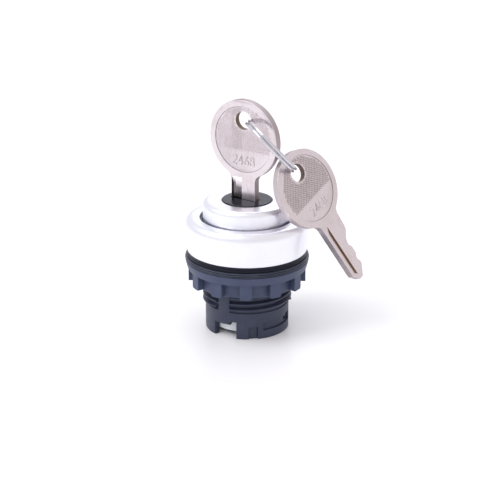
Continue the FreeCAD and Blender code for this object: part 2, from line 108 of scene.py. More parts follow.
# Base
BARREL_R = 10.1
BORE_R = 8.75
BORE_ROOF = -1.4
NECK_R = 10.8
NECK_FOOT = 0.2
FLANGE_FOOT = 1.25
FLANGE_LINE = (1.8, 2.06)       # levels of a fine groove round the flange
FLANGE_LINE_DEPTH = 0.12
FLANGE_LINE_SLOPE = 0.08
BOSS_R = 13.8                   # boss inside the bezel, and the steps of its bore
SEAT_R = 9.3
SEAT_Z = 6.2
POCKET_R = 7.5
POCKET_Z = 1.0
CLIP_R = 5.0
CLIP_Z = 0.2
TAIL_HOLE_R = 3.1
THREAD_ROOT_R = 9.8
THREAD_CREST_R = 10.75
THREAD_BOTTOM = -10.8
THREAD_TOP = -0.4
THREAD_ROOT_HALF = 0.5
THREAD_CREST_HALF = 0.15
PITCH = 1.5
STRIP = (-43.0, -24.6)
NOTCH = (-50.0, -15.0)
NOTCH_ROOF = -13.9
NOTCH_HIGH = (-24.0, -15.0)
NOTCH_HIGH_ROOF = -13.1
BAYONET = (23.0, 80.0)
BAYONET_Z = (-15.25, -13.4)
BAYONET_HOLE = (66.0, 80.0)
BAYONET_HOLE_Z = (-14.8, -12.9)
RECESS = (2.3, 15.0)
RECESS_TOP = -14.2
SKIN = 0.55                     # depth of the recess and the bayonet slots
FOOT_SEAM = -140.0              # azimuth where the foot's wrapped plates meet

# Nut
NUT_BAND_FOOT_R = 14.35
NUT_BAND_FOOT = -2.1
NUT_CORE_R = 12.5
NUT_BORE_R = 10.95
NUT_MINOR_R = 10.2
NUT_ROOT_HALF = 0.5
NUT_CREST_HALF = 0.2
NUT_THREAD = (4.5, 2.2)         # pitches from the barrel's first thread to the nut's, and in the nut
LUG_R = 14.2
LUG_FOOT = -5.7
LUG_COUNT = 12
LUG_WIDTH = 12.0
LUG_FIRST = -1.2                # azimuth of the first lug
LUG_FILLET = 0.55
LUG_BITE = 0.3                  # how far a lug reaches into the core and the band
NUT_FOOT = LUG_FOOT - 0.1

# Keys, in their own frame: bow's centre at the origin, front face to -Y, tip to -Z
BOW_R = 9.5
KEY_THICK = 1.8
RIM_R = 8.0
FACE_DEPTH = 0.2
RIM_EASE = 0.19                 # radius at the foot of the rim
KEY_HOLE_R = 2.2
KEY_HOLE_Z = 4.55
BLADE_HALF = 3.4
ROOT = [(4.6, -8.31), (3.5, -8.9), (BLADE_HALF, -10.1)]     # bow end, pull and blade end of the flare
KEY_TIP_Z = -25.9
TIP_Z = -24.0                   # where the blade starts to narrow to its tip
TIP_FLAT = (-1.8, -0.6)
TIP_CUT = 0.8                   # x of the first cut's side at TIP_Z
STEP = [(1.35, -16.1), (2.95, -14.3), (3.2, -12.9)]         # down from full width to the cuts
STEP_IN_LOCK = [(1.35, -16.4), (BLADE_HALF, -15.2)]         # the same, hidden in the lock
CUT_LEVELS = [-17.4, -18.8, -20.2, -21.6, -23.0]
CUT_DEPTHS = [1.05, 1.55, 1.5, 0.95, 1.3]
CUT_HALF = 0.3                  # half the length of a cut's flat
GROOVE_DEPTH = 0.45
FRONT_GROOVE = [(-2.65, 0.0), (-1.80, 0.75), (-1.68, 0.0)]  # x and share of the depth
BACK_GROOVE = [(0.35, 0.0), (0.4, 1.0), (2.35, 1.0), (3.2, 1.0), (3.3, 0.0)]
FRONT_RUN = (-24.4, -10.2)
BACK_RUN = (KEY_TIP_Z - 1.0, -9.3)
RUN_OUT = 2.7                   # length over which a groove's floor rises to the face
RUN_END = 0.6                   # the same at a closed foot
OUTSIDE = -0.03                 # depth of a groove's end, just off the face
KNURL_PITCH = 0.50
KNURL_HEIGHT = 0.10
KNURL_BASE = 0.49               # half widths of a knurl's foot and top, as shares of the pitch
KNURL_TOP = 0.28
KNURL_CHORD = -3.0              # the knurl ends here, above the number
KNURL_FIRST = 0.3               # least distance from there to a knurl's middle
KNURL_MARGIN = 0.35             # least distance from a knurl's middle to the rim or the hole
DIGIT_STROKE_R = 0.19
DIGIT_SCALE = 1.25
DIGIT_ADVANCE = 1.65
DIGIT_FOOT_Z = -6.2
INSERTED_BOW_Z = 29.6
KEY_AZIMUTH = 145.25
KEY_OFFSET = 0.55
KEYWAY = (7.1, 2.2)
SPARE_CENTRE = Vector((13.86, -3.09, 18.38))
SPARE_NORMAL = Vector((0.64, -0.664, 0.387))
SPARE_TIP_DIRECTION = Vector((0.517, 0.03, -0.841))

# Masks that the meshes carry for their materials: painted shade, and rougher edges on the keys
SIDE = "side"                   # a key's edges and walls, and its knurl's flanks: painted shade, and rougher metal
HOLLOW_SHADE = "hollow_shade"                 # painted brown shade on the narrow groove's wall and in the ring hole
DEEP_SHADE = "deep_shade"                   # painted black shade in deep or shaded places
SIDE_LIMITS = (0.35, 0.85)      # from edge to flat, as the normal's share across the key
LOCK_KEY_SHADES = (0.60, 0.04)  # strength of the painted shade on a key's edges and on its knurl; each key is lit its own way
SPARE_KEY_SHADES = (0.28, 0.75)
BORE_SHADE = 0.75
CHANNEL_SHADE = (0.2, 0.8)
CHANNEL_FADE = 1.8              # length over which the painted shade in the wide channel deepens, from one of two starts
CHANNEL_FLOOR_START = 1.5
CHANNEL_LIP_START = 0.3
# painted shade on the base above the gasket
FLANGE_SHADE = 0.85
# colour of the plastics' painted shade
BLACK = (0.005, 0.005, 0.008)
COOL = (0.76, 0.84, 1.0)        # tint of the plastics' sheen

# Split ring
RING_R = 7.8
RING_INSET = 0.85               # from a hole's centre to the wire, towards the other hole
RING_SHIFT = 0.15               # of the ring's plane off the holes' centres
RING_WIRE_R = 0.4
RING_PITCH = 0.84               # between the two turns
RING_END_ANGLE = -50.0          # where the wire starts, from the inserted key
RING_DEPTH = Vector((0.016, 0.959, -0.282))     # roughly from the ring's near side to its far side

# Return springs of the plungers
RETURN_WIRE_R = 0.18
RETURN_TURNS = 6


# ---------------------------------------------------------------- meshes

def link(name, mesh):
    """A new object in the scene."""
    piece = bpy.data.objects.new(name, mesh)
    bpy.context.scene.collection.objects.link(piece)
    return piece


def finish_mesh(bm, name, sharp=40.0):
    """Metres, outward normals, smooth faces with sharp corners kept."""
    bmesh.ops.recalc_face_normals(bm, faces=bm.faces)
    mesh = bpy.data.meshes.new(name)
    bm.to_mesh(mesh)
    bm.free()
    mesh.transform(Matrix.Scale(MM, 4))
    mesh.shade_smooth()
    mesh.set_sharp_from_angle(angle=radians(sharp))
    return mesh


def rounded(corners):
    """Outline of (x, y, fillet radius) corners with the fillets drawn as arcs."""
    outline = []
    for index, (x, y, fillet) in enumerate(corners):
        corner = Vector((x, y))
        if not fillet:
            outline.append((x, y))
            continue
        before = (Vector(corners[index - 1][:2]) - corner).normalized()
        after = (Vector(corners[(index + 1) % len(corners)][:2]) - corner).normalized()
        half = acos(max(-1.0, min(1.0, before.dot(after)))) / 2
        centre = corner + (before + after).normalized() * (fillet / sin(half))
        start = corner + before * (fillet / tan(half)) - centre
        end = corner + after * (fillet / tan(half)) - centre
        sweep = start.angle_signed(end)
        for step in range(FILLET_STEPS + 1):
            point = start.copy()
            point.rotate(Matrix.Rotation(-sweep * step / FILLET_STEPS, 2))
            outline.append(tuple(centre + point))
    return outline


def lathe(bm, corners, segments=SEGMENTS):
    """Closed ring turned about Z from (radius, z, fillet) corners."""
    outline = rounded(corners)
    rings = []
    for index in range(segments):
        angle = 2 * pi * index / segments
        rings.append([bm.verts.new((r * cos(angle), r * sin(angle), z)) for r, z in outline])
    for index in range(segments):
        here, there = rings[index], rings[(index + 1) % segments]
        for k in range(len(outline)):
            nxt = (k + 1) % len(outline)
            bm.faces.new((here[k], there[k], there[nxt], here[nxt]))


def arc_points(radius, start, end, centre=(0.0, 0.0), steps=48):
    """Points on a circle from one angle to another, in degrees."""
    turn = radians(end - start)
    return [(centre[0] + radius * cos(radians(start) + turn * k / steps),
             centre[1] + radius * sin(radians(start) + turn * k / steps)) for k in range(steps + 1)]


def take_shape(bm, holder):
    """Adds an object's final shape, with its bevel and modifiers, and removes the object."""
    bpy.context.view_layer.update()
    mesh = bpy.data.meshes.new_from_object(holder.evaluated_get(bpy.context.evaluated_depsgraph_get()))
    bm.from_mesh(mesh)
    bpy.data.objects.remove(holder)
    bpy.data.meshes.remove(mesh)


def plate(outlines, thick, bevel):
    """Flat plate in XY, centred on z = 0, with rounded edges: one outer outline, then its holes."""
    curve = bpy.data.curves.new("plate", "CURVE")
    curve.dimensions = "2D"
    curve.fill_mode = "BOTH"
    for outline in outlines:
        spline = curve.splines.new("POLY")
        spline.points.add(len(outline) - 1)
        for point, (x, y) in zip(spline.points, outline):
            point.co = (x, y, 0, 1)
        spline.use_cyclic_u = True
    curve.extrude = thick / 2 - bevel
    curve.bevel_depth = bevel
    curve.bevel_resolution = 2
    curve.offset = -bevel
    bm = bmesh.new()
    take_shape(bm, link("plate", curve))
    bmesh.ops.remove_doubles(bm, verts=bm.verts, dist=1e-4)
    bpy.data.curves.remove(curve)
    return bm


def add(target, source, matrix=None):
    """Puts one bmesh into another, moved by a matrix, and frees it."""
    if matrix is not None:
        bmesh.ops.transform(source, matrix=matrix, verts=source.verts)
    mesh = bpy.data.meshes.new("part")
    source.to_mesh(mesh)
    source.free()
    target.from_mesh(mesh)
    bpy.data.meshes.remove(mesh)


def wrap(outlines, inner_r, outer_r, bevel=0.1, step=2.0):
    """Plate drawn as (azimuth in degrees, z) and wrapped round the barrel between two radii."""
    middle = (inner_r + outer_r) / 2
    scale = radians(1) * middle
    flat = [[(azimuth * scale, z) for azimuth, z in outline] for outline in outlines]
    bm = plate(flat, outer_r - inner_r, bevel)
    low = min(v.co.x for v in bm.verts)
    high = max(v.co.x for v in bm.verts)
    count = int((high - low) / (step * scale))
    for index in range(1, count + 1):
        cut = low + (high - low) * index / (count + 1)
        geometry = bm.verts[:] + bm.edges[:] + bm.faces[:]
        bmesh.ops.bisect_plane(bm, geom=geometry, plane_co=(cut, 0, 0), plane_no=(1, 0, 0), dist=1e-5)
    for vert in bm.verts:
        azimuth = vert.co.x / middle
        radius = middle + vert.co.z
        vert.co = Vector((radius * sin(azimuth), -radius * cos(azimuth), vert.co.y))
    return bm


def rectangle(across, levels):
    left, right = across
    low, high = levels
    return [(left, low), (right, low), (right, high), (left, high)]


def shifted(outline, azimuth):
    return [(a + azimuth, z) for a, z in outline]


def loft(bm, loops):
    """Closed tube through loops of points, with a face at each end."""
    rings = [[bm.verts.new(point) for point in loop] for loop in loops]
    for here, there in zip(rings, rings[1:]):
        for k in range(len(here)):
            nxt = (k + 1) % len(here)
            bm.faces.new((here[k], here[nxt], there[nxt], there[k]))
    bm.faces.new(rings[0])
    bm.faces.new(rings[-1])


def helical_sweep(bm, section, start, length, skip=(0.0, 0.0), step=3.0):
    """Ridge of (radius, z offset) section points along the thread, left out inside azimuths skip."""
    runs = [[]]
    for index in range(int(length / PITCH * 360 / step) + 1):
        angle = index * step                      # about +Z from +X
        azimuth = (angle + 90 + 180) % 360 - 180
        if skip[0] < azimuth < skip[1]:
            runs.append([])
            continue
        z = start + PITCH * angle / 360
        turn = radians(angle)
        runs[-1].append([(radius * cos(turn), radius * sin(turn), z + dz) for radius, dz in section])
    for run in runs:
        if len(run) > 1:
            loft(bm, run)


# ---------------------------------------------------------------- materials

def shader(name, colour, metallic, roughness, **sockets):
    """A surface with its node tree and the piece's own coordinates to place its grain."""
    material = bpy.data.materials.new(name)
    material.use_nodes = True
    tree = material.node_tree
    surface = tree.nodes["Principled BSDF"]
    surface.inputs["Base Color"].default_value = (*colour, 1)
    surface.inputs["Metallic"].default_value = metallic
    surface.inputs["Roughness"].default_value = roughness
    for key, value in sockets.items():
        surface.inputs[key.replace("_", " ")].default_value = value
    coordinates = tree.nodes.new("ShaderNodeTexCoord")
    return material, tree, surface, coordinates.outputs["Object"]


def scaled(tree, coordinates, scale, rotation=(0, 0, 0)):
    mapping = tree.nodes.new("ShaderNodeMapping")
    mapping.inputs["Scale"].default_value = scale
    mapping.inputs["Rotation"].default_value = rotation
    tree.links.new(coordinates, mapping.inputs["Vector"])
    return mapping.outputs["Vector"]


def noise(tree, coordinates, scale, detail=4.0, roughness=0.6):
    node = tree.nodes.new("ShaderNodeTexNoise")
    node.inputs["Scale"].default_value = scale
    node.inputs["Detail"].default_value = detail
    node.inputs["Roughness"].default_value = roughness
    tree.links.new(coordinates, node.inputs["Vector"])
    return node.outputs["Fac"]


def mask(tree, name):
    """Value that the mesh carries for each face, or 0."""
    node = tree.nodes.new("ShaderNodeAttribute")
    node.attribute_name = name
    return node.outputs["Fac"]


def remap(tree, value, low, high, from_low=0.3, from_high=0.7):
    node = tree.nodes.new("ShaderNodeMapRange")
    node.inputs["From Min"].default_value = from_low
    node.inputs["From Max"].default_value = from_high
    node.inputs["To Min"].default_value = low
    node.inputs["To Max"].default_value = high
    tree.links.new(value, node.inputs["Value"])
    return node.outputs["Result"]


def mix(tree, factor, first, second):
    node = tree.nodes.new("ShaderNodeMix")
    node.data_type = "RGBA"
    tree.links.new(factor, node.inputs["Factor"])
    for socket, colour in (("A", first), ("B", second)):
        target = [s for s in node.inputs if s.name == socket and s.type == "RGBA"][0]
        if isinstance(colour, tuple):
            target.default_value = (*colour, 1)
        else:
            tree.links.new(colour, target)
    return [s for s in node.outputs if s.type == "RGBA"][0]


def bump(tree, surface, height, strength, distance):
    node = tree.nodes.new("ShaderNodeBump")
    node.inputs["Strength"].default_value = strength
    node.inputs["Distance"].default_value = distance
    tree.links.new(height, node.inputs["Height"])
    tree.links.new(node.outputs["Normal"], surface.inputs["Normal"])


def moulded(name, colour, worn, roughness, grain=0.5, gloss=0.5):
    """Moulded plastic: spark texture, uneven sheen, paler worn places, and painted shade where masked:
    black, with less sheen.
    """
    material, tree, surface, where = shader(name, colour, 0.0, roughness, Specular_Tint=(*COOL, 1))
    fine = noise(tree, where, 9000.0, 3.0)
    broad = noise(tree, where, 260.0, 5.0)
    tone = mix(tree, remap(tree, broad, 0.0, 1.0, 0.42, 0.75), colour, worn)
    # painted shade where masked: black, with weaker specular
    deep_shade = mask(tree, DEEP_SHADE)
    tree.links.new(mix(tree, deep_shade, tone, BLACK), surface.inputs["Base Color"])
    tree.links.new(remap(tree, deep_shade, gloss, gloss * 0.35, 0.0, 1.0), surface.inputs["Specular IOR Level"])
    tree.links.new(remap(tree, broad, roughness - 0.08, roughness + 0.1), surface.inputs["Roughness"])
    bump(tree, surface, fine, grain, 0.00003)
    return material


def metal(name, colour, stained, roughness, brush=(1, 1, 1), grain=0.15, shade_masks=()):
    """Metal: brushed or tumbled grain, hairline scratches, faint staining, and painted shade by mask."""
    material, tree, surface, where = shader(name, colour, 1.0, roughness)
    grains = noise(tree, scaled(tree, where, brush), 2500.0, 4.0)
    stain = noise(tree, where, 180.0, 5.0)
    scratch = noise(tree, scaled(tree, where, (40, 900, 40), (0.4, 0.2, 0.7)), 10.0, 2.0)
    tone = mix(tree, remap(tree, stain, 0.0, 1.0, 0.45, 0.8), colour, stained)
    # painted shade, one colour for each mask
    for shade_mask, shade_colour in shade_masks:
        tone = mix(tree, mask(tree, shade_mask), tone, shade_colour)
    tree.links.new(tone, surface.inputs["Base Color"])
    rough = tree.nodes.new("ShaderNodeMath")
    rough.operation = "ADD"
    tree.links.new(remap(tree, scratch, roughness - 0.05, roughness + 0.09), rough.inputs[0])
    tree.links.new(remap(tree, mask(tree, SIDE), 0.0, 0.30, 0.0, 0.4), rough.inputs[1])
    tree.links.new(rough.outputs["Value"], surface.inputs["Roughness"])
    bump(tree, surface, grains, grain, 0.00002)
    return material


# Colour, colour of the worn or stained places, roughness, then the grain
MATERIALS = {
    "black_plastic": moulded("black_plastic", (0.029, 0.034, 0.060), (0.042, 0.048, 0.080), 0.42),
    "slate_plastic": moulded("slate_plastic", (0.047, 0.058, 0.110), (0.062, 0.076, 0.136), 0.45),
    "natural_plastic": moulded("natural_plastic", (0.78, 0.80, 0.84), (0.70, 0.72, 0.76), 0.40),
    "black_rubber": moulded("black_rubber", (0.038, 0.044, 0.066), (0.060, 0.066, 0.092), 0.38, 0.6),
    "black_gloss": moulded("black_gloss", (0.010, 0.010, 0.016), (0.020, 0.020, 0.032), 0.20, 0.2, 0.30),
    "satin_chrome": metal("satin_chrome", (0.89, 0.895, 0.95), (0.86, 0.865, 0.93), 0.33, (1, 1, 30), 0.03),
    # the key metal's masked colours are painted shade
    "nickel_silver": metal("nickel_silver", (0.73, 0.665, 0.695), (0.62, 0.54, 0.54), 0.24, (1, 1, 1), 0.2,
                           shade_masks=((SIDE, (0.30, 0.245, 0.235)), (HOLLOW_SHADE, (0.19, 0.115, 0.06)),
                                   (DEEP_SHADE, (0.035, 0.03, 0.03)))),
    "bright_steel": metal("bright_steel", (0.66, 0.65, 0.69), (0.52, 0.51, 0.56), 0.14, (1, 1, 1), 0.08),
    "spring_steel": metal("spring_steel", (0.50, 0.50, 0.52), (0.38, 0.37, 0.36), 0.30, (1, 1, 1), 0.2),
    "zinc": metal("zinc", (0.47, 0.47, 0.50), (0.36, 0.36, 0.38), 0.42, (1, 1, 1), 0.5),
    "brass": metal("brass", (0.70, 0.52, 0.26), (0.52, 0.36, 0.16), 0.28, (1, 1, 20), 0.2),
}


def install(name, mesh, body, material, replaced=()):
    """A new piece on its body, with its finish, standing for CAD nodes."""
    piece = link(name, mesh)
    mesh.materials.clear()
    mesh.materials.append(MATERIALS[material])
    weighted = piece.modifiers.new("normals", "WEIGHTED_NORMAL")
    weighted.keep_sharp = True
    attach(piece, body)
    if replaced:
        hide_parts(*replaced)
    return piece


# ---------------------------------------------------------------- pieces of the actuator

def bezel():
    bm = bmesh.new()
    lathe(bm, [(BEZEL_INNER_R, BEZEL_FOOT, 0.1), (BEZEL_FOOT_R, BEZEL_FOOT, 0.15),
               (BEZEL_R, BEZEL_SHOULDER_Z, 0.0), (BEZEL_R - 0.05, BEZEL_TOP, 1.75),
               (BEZEL_LIP_R, BEZEL_TOP, 0.3), (BEZEL_LIP_R, SEAL_TOP, 0.1),
               (BEZEL_INNER_R, SEAL_TOP, 0.3)])
    install("bezel", finish_mesh(bm, "bezel"), "housing", "satin_chrome", ["bezel_ring"])


def collar():
    bm = bmesh.new()
    lathe(bm, [(COLLAR_BORE_R, COLLAR_FOOT, 0.0), (COLLAR_RIM_R, COLLAR_FOOT, 0.1),
               (COLLAR_RIM_R, COLLAR_RIM_TOP, 0.2), (COLLAR_R, COLLAR_RIM_TOP, 0.15),
               (COLLAR_R, COLLAR_TOP, 1.3), (FACE_HOLE_R, COLLAR_TOP, 0.12),
               (FACE_HOLE_R, COLLAR_ROOF, 0.0), (COLLAR_BORE_R, COLLAR_ROOF, 0.0)])
    install("raised_collar", finish_mesh(bm, "raised_collar"), "housing", "satin_chrome", ["collar"])


def seal():
    bm = bmesh.new()
    lathe(bm, [(SEAL_BORE_R, SEAL_FOOT, 0.1), (SEAL_R, SEAL_FOOT, 0.1), (SEAL_R, SEAL_TOP, 0.2),
               (SEAL_BORE_R, SEAL_TOP, 0.35)])
    install("lip_seal", finish_mesh(bm, "lip_seal"), "housing", "black_rubber", ["collar_seal"])


def lock_face():
    """Black disc over the plug, with rounded edges and the key's slot."""
    circle = arc_points(FACE_R, 0, 360, steps=160)[:-1]
    low, high = KEY_OFFSET - KEYWAY[0] / 2, KEY_OFFSET + KEYWAY[0] / 2
    slot = rectangle((low, high), (-KEYWAY[1] / 2, KEYWAY[1] / 2))
    raised = Matrix.Translation((0, 0, (FACE_TOP + FACE_FOOT) / 2))
    bm = plate([circle, slot], FACE_TOP - FACE_FOOT, EDGE)
    bmesh.ops.transform(bm, matrix=raised @ Matrix.Rotation(radians(KEY_AZIMUTH), 4, "Z"), verts=bm.verts)
    install("lock_face", finish_mesh(bm, "lock_face"), "plug", "black_gloss", ["plug_face"])


def gasket():
    """Flat rubber ring with fine ribs and a proud lip."""
    corners = [(GASKET_BORE_R, 0.0, 0.1)]
    groove = GASKET_R - GASKET_RIB_DEPTH
    height = GASKET_TOP / GASKET_RIBS
    for index in range(GASKET_RIBS):
        z = index * height
        proud = GASKET_R if index == 1 else GASKET_R - GASKET_LIP
        corners += [(groove, z + 0.02, 0.0), (proud, z + height * 0.35, 0.08),
                    (proud, z + height * 0.75, 0.08)]
    corners += [(groove, GASKET_TOP, 0.0), (GASKET_BORE_R, GASKET_TOP, 0.1)]
    bm = bmesh.new()
    lathe(bm, corners)
    install("ribbed_gasket", finish_mesh(bm, "ribbed_gasket"), "gasket_carrier", "black_rubber", ["gasket"])


def nut_lug(bm, azimuth):
    """One lug: a block standing out of the nut's core, with its free edges rounded."""
    inner, outer = NUT_CORE_R - LUG_BITE, LUG_R
    half = outer * radians(LUG_WIDTH / 2)
    top = NUT_BAND_FOOT + LUG_BITE
    outline = rounded([(-half, LUG_FOOT, LUG_FILLET), (half, LUG_FOOT, LUG_FILLET),
                       (half, top, 0.0), (-half, top, 0.0)])
    block = plate([outline], outer - inner, EDGE)
    for vert in block.verts:
        radius = (inner + outer) / 2 + vert.co.z
        angle = vert.co.x / outer + radians(azimuth)
        vert.co = Vector((radius * sin(angle), -radius * cos(angle), vert.co.y))
    add(bm, block)


def nut():
    bm = bmesh.new()
    lathe(bm, [(NUT_BORE_R, 0.0, 0.3), (NUT_R, 0.0, 0.12), (NUT_BAND_FOOT_R, NUT_BAND_FOOT, 0.3),
               (NUT_CORE_R, NUT_BAND_FOOT, 0.35), (NUT_CORE_R, NUT_FOOT, 0.25),
               (NUT_BORE_R, NUT_FOOT, 0.3)])
    for index in range(LUG_COUNT):
        nut_lug(bm, LUG_FIRST + index * 360 / LUG_COUNT)
    root = NUT_BORE_R + THREAD_BITE
    section = [(root, -NUT_ROOT_HALF), (NUT_MINOR_R, -NUT_CREST_HALF),
               (NUT_MINOR_R, NUT_CREST_HALF), (root, NUT_ROOT_HALF)]
    below, turns = NUT_THREAD
    helical_sweep(bm, section, THREAD_BOTTOM + PITCH * below, PITCH * turns)
    install("lug_nut", finish_mesh(bm, "lug_nut"), "nut", "slate_plastic", ["lock_nut"])


def barrel_foot():
    """Unthreaded foot of the barrel in two layers: an outer skin with its recesses, and the wall behind."""
    top = THREAD_BOTTOM + 0.1
    notch = [(NOTCH[0], BASE_FOOT), (NOTCH[0], NOTCH_ROOF), (NOTCH_HIGH[0], NOTCH_ROOF),
             (NOTCH_HIGH[0], NOTCH_HIGH_ROOF), (NOTCH_HIGH[1], NOTCH_HIGH_ROOF), (NOTCH[1], BASE_FOOT)]
    recess = [(RECESS[0], BASE_FOOT), (RECESS[0], RECESS_TOP),
              (RECESS[1], RECESS_TOP), (RECESS[1], BASE_FOOT)]
    far_notch = shifted(notch, 180)
    start = [(FOOT_SEAM, top), (FOOT_SEAM, BASE_FOOT)]
    end = [(FOOT_SEAM + 360, BASE_FOOT), (FOOT_SEAM + 360, top)]
    wall = start + notch + far_notch + end
    skin = start + notch + recess + far_notch + end
    hole = rectangle(BAYONET_HOLE, BAYONET_HOLE_Z)
    entry = [(BAYONET[0], BAYONET_Z[0]), (BAYONET[1], BAYONET_Z[0]),
             (BAYONET[1], BAYONET_HOLE_Z[1]), (BAYONET_HOLE[0], BAYONET_HOLE_Z[1]),
             (BAYONET_HOLE[0], BAYONET_Z[1]), (BAYONET[0], BAYONET_Z[1])]
    bm = wrap([skin, entry, shifted(entry, 180)], BARREL_R - SKIN, BARREL_R)
    add(bm, wrap([wall, hole, shifted(hole, 180)], BORE_R, BARREL_R - SKIN + 0.02))
    return bm


def base():
    """Moulded base: flange and boss, threaded barrel with its plain strip, slotted foot."""
    line_foot, line_top = FLANGE_LINE
    line_r = FLANGE_R - FLANGE_LINE_DEPTH
    bm = barrel_foot()
    lathe(bm, [(BORE_R, THREAD_BOTTOM - 0.05, 0.0), (BARREL_R - 0.05, THREAD_BOTTOM - 0.05, 0.0),
               (BARREL_R - 0.05, THREAD_BOTTOM, 0.0), (THREAD_ROOT_R, THREAD_BOTTOM + 0.05, 0.0),
               (THREAD_ROOT_R, NECK_FOOT, 0.0), (NECK_R, NECK_FOOT, 0.1), (NECK_R, FLANGE_FOOT, 0.0),
               (FLANGE_R, FLANGE_FOOT, 0.2), (FLANGE_R, line_foot, 0.05),
               (line_r, line_foot + FLANGE_LINE_SLOPE, 0.0), (line_r, line_top - FLANGE_LINE_SLOPE, 0.0),
               (FLANGE_R, line_top, 0.05), (FLANGE_R, BEZEL_FOOT, 0.1),
               (BOSS_R, BEZEL_FOOT, 0.0), (BOSS_R, BASE_TOP, 0.3), (SEAT_R, BASE_TOP, 0.2),
               (SEAT_R, SEAT_Z, 0.0), (POCKET_R, SEAT_Z, 0.2), (POCKET_R, POCKET_Z, 0.0),
               (CLIP_R, POCKET_Z, 0.0), (CLIP_R, CLIP_Z, 0.0), (TAIL_HOLE_R, CLIP_Z, 0.0),
               (TAIL_HOLE_R, BORE_ROOF, 0.1), (BORE_R, BORE_ROOF, 0.2)])
    root, near_crest = THREAD_ROOT_R - THREAD_BITE, THREAD_CREST_R - 0.05
    flank = [(root, THREAD_ROOT_HALF + 0.06), (near_crest, THREAD_CREST_HALF + 0.02),
             (THREAD_CREST_R, THREAD_CREST_HALF - 0.05)]
    section = [(radius, -half) for radius, half in flank] + flank[::-1]
    helical_sweep(bm, section, THREAD_BOTTOM, THREAD_TOP - THREAD_BOTTOM, STRIP)
    add(bm, wrap([rectangle(STRIP, (NOTCH_ROOF + 1.0, 0.3))], THREAD_ROOT_R - 0.3, BARREL_R, 0.08))
    mesh = finish_mesh(bm, "moulded_base")
    # painted shade on the base above the gasket: black, with less sheen
    deep_shade = mesh.attributes.new(DEEP_SHADE, "FLOAT", "FACE")
    for face in mesh.polygons:
        deep_shade.data[face.index].value = FLANGE_SHADE if face.center.z > GASKET_TOP * MM else 0.0
    install("moulded_base", mesh, "housing", "black_plastic", ["base_body"])


# ---------------------------------------------------------------- keys and ring

STAND = Matrix.Rotation(pi / 2, 4, "X")     # a plate drawn in XY stands up and faces -Y


def root_curve():
    """Hollow curve from the bow's edge into the blade's side, as a quadratic."""
    start, pull, end = (Vector(point) for point in ROOT)
    steps = 8
    shares = [k / steps for k in range(steps + 1)]
    return [tuple(start.lerp(pull, share).lerp(pull.lerp(end, share), share)) for share in shares]


def key_outline(step):
    """Over the bow from right to left, down the spine, round the tip and up the cuts."""
    root = root_curve()
    edge = degrees(atan2(ROOT[0][1], ROOT[0][0]))
    corners = [(-BLADE_HALF, ROOT[2][1], 0.0), (-BLADE_HALF, TIP_Z, 0.4), (TIP_FLAT[0], KEY_TIP_Z, 0.4),
               (TIP_FLAT[1], KEY_TIP_Z, 0.4), (TIP_CUT, TIP_Z, 0.5)]
    for level, cut in sorted(zip(CUT_LEVELS, CUT_DEPTHS)):
        corners += [(cut, level - CUT_HALF, 0.2), (cut, level + CUT_HALF, 0.2)]
    corners += [(x, z, 0.35) for x, z in step] + [(BLADE_HALF, ROOT[2][1], 0.0)]
    bow = arc_points(BOW_R, edge, 180 - edge, steps=160)
    return bow[1:-1] + [(-x, z) for x, z in root[:-1]] + rounded(corners) + root[-2::-1]


def trench(section, facing, stations):
    """Closed shape to cut a groove with: its section at each (z, depth) down the blade."""
    half = KEY_THICK / 2
    above = [(section[-1][0], half + 0.5), (section[0][0], half + 0.5)]
    loops = []
    for z, depth in stations:
        points = [(x, half - depth * share) for x, share in section] + above
        loops.append([(x, facing * y, z) for x, y in points])
    bm = bmesh.new()
    loft(bm, loops)
    return bm


def run_stations(foot, top, closed_foot):
    """Depths along a groove: its floor falls in from the face at the top, and at the foot if closed."""
    steps = 8
    shares = [k / steps for k in range(1, steps + 1)]
    fall = [(top - RUN_OUT * share, GROOVE_DEPTH * (1 - (1 - share) ** 2)) for share in shares]
    end = [(foot + RUN_END, GROOVE_DEPTH), (foot, OUTSIDE)] if closed_foot else [(foot, GROOVE_DEPTH)]
    return [(top, OUTSIDE)] + fall + end


def carve(bm, cutters):
    """Cuts closed shapes out of another, which is used up with them."""
    holders = []
    for source in [bm] + cutters:
        bmesh.ops.recalc_face_normals(source, faces=source.faces)
        mesh = bpy.data.meshes.new("shape")
        source.to_mesh(mesh)
        source.free()
        holders.append(link("shape", mesh))
    shapes = [holder.data for holder in holders]
    blank_holder, *cutter_holders = holders
    for cutter in cutter_holders:
        cut = blank_holder.modifiers.new("cut", "BOOLEAN")
        cut.object = cutter
        cut.operation = "DIFFERENCE"
        cut.solver = "EXACT"
    result = bmesh.new()
    take_shape(result, blank_holder)
    for cutter in cutter_holders:
        bpy.data.objects.remove(cutter)
    for shape in shapes:
        bpy.data.meshes.remove(shape)
    return result


def blank(step):
    """Bow and blade in one plate, sunk inside the rim on both faces, with its hole and both grooves."""
    bm = plate([key_outline(step)], KEY_THICK, 0.12)
    bmesh.ops.transform(bm, matrix=STAND, verts=bm.verts)
    disc = arc_points(RIM_R, 0, 360, steps=160)[:-1]
    hole = arc_points(KEY_HOLE_R, 0, 360, (0, KEY_HOLE_Z), 64)[:-1]
    sink_thick = 1.0
    cutters = []
    for facing in (-1, 1):
        sink = plate([disc], sink_thick, RIM_EASE)
        place = Matrix.Translation((0, facing * (KEY_THICK / 2 - FACE_DEPTH + sink_thick / 2), 0)) @ STAND
        bmesh.ops.transform(sink, matrix=place, verts=sink.verts)
        cutters.append(sink)
    bore = plate([hole], 2 * KEY_THICK, 0.0)
    bmesh.ops.transform(bore, matrix=STAND, verts=bore.verts)
    cutters += [bore, trench(FRONT_GROOVE, -1, run_stations(*FRONT_RUN, True)),
                trench(BACK_GROOVE, 1, run_stations(*BACK_RUN, False))]
    return carve(bm, cutters)


